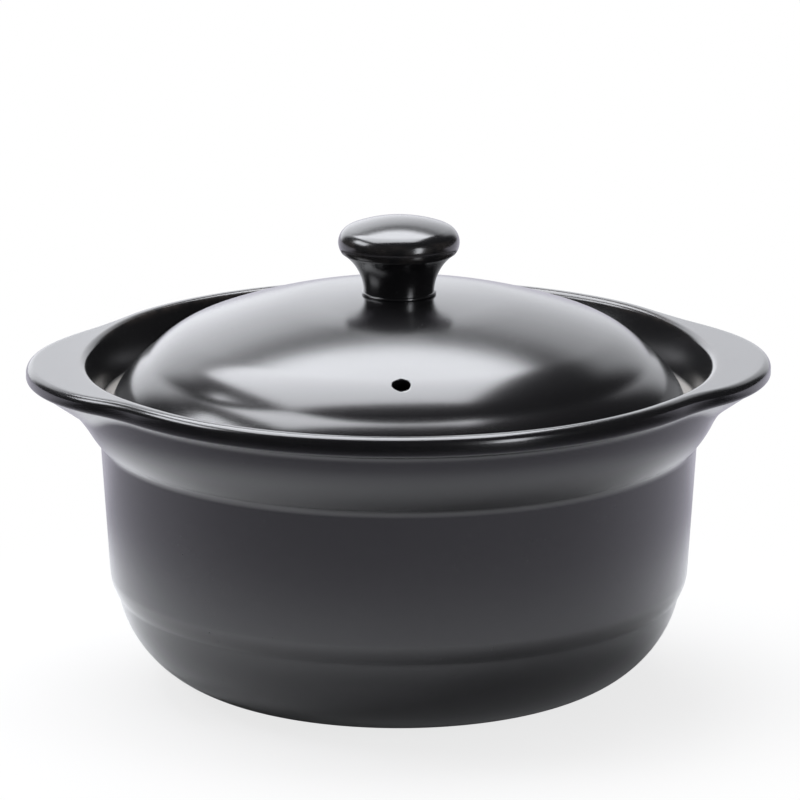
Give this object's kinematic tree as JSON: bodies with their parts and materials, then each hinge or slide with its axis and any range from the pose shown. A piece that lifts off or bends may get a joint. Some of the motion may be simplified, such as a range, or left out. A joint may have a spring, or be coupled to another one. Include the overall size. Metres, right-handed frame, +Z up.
{
  "type": "chinese sand pot",
  "caption": "Round stoneware stew pot with two lug ears, a stepped wall and a foot ring, closed by a domed lid with a steam vent and a mushroom knob.",
  "frame": {"origin": "middle of the foot ring's resting face, under the middle of the pot", "axes": "+Z up along the axis of pot and lid, +X through the two lug ears, -Y towards the front, where the steam vent of the lid is"},
  "size_m": [0.29, 0.2572, 0.1852],
  "materials": {
    "black_glaze": "satin black glaze"
  },
  "bodies": {
    "pot": {"pot": "black_glaze"},
    "lid": {"lid": "black_glaze", "knob": "black_glaze"}
  },
  "joints": [
    {"name": "lid_lift", "type": "slide", "parent": "pot", "child": "lid", "axis": [0, 0, 1], "range_m": [0, 0.08]}
  ]
}
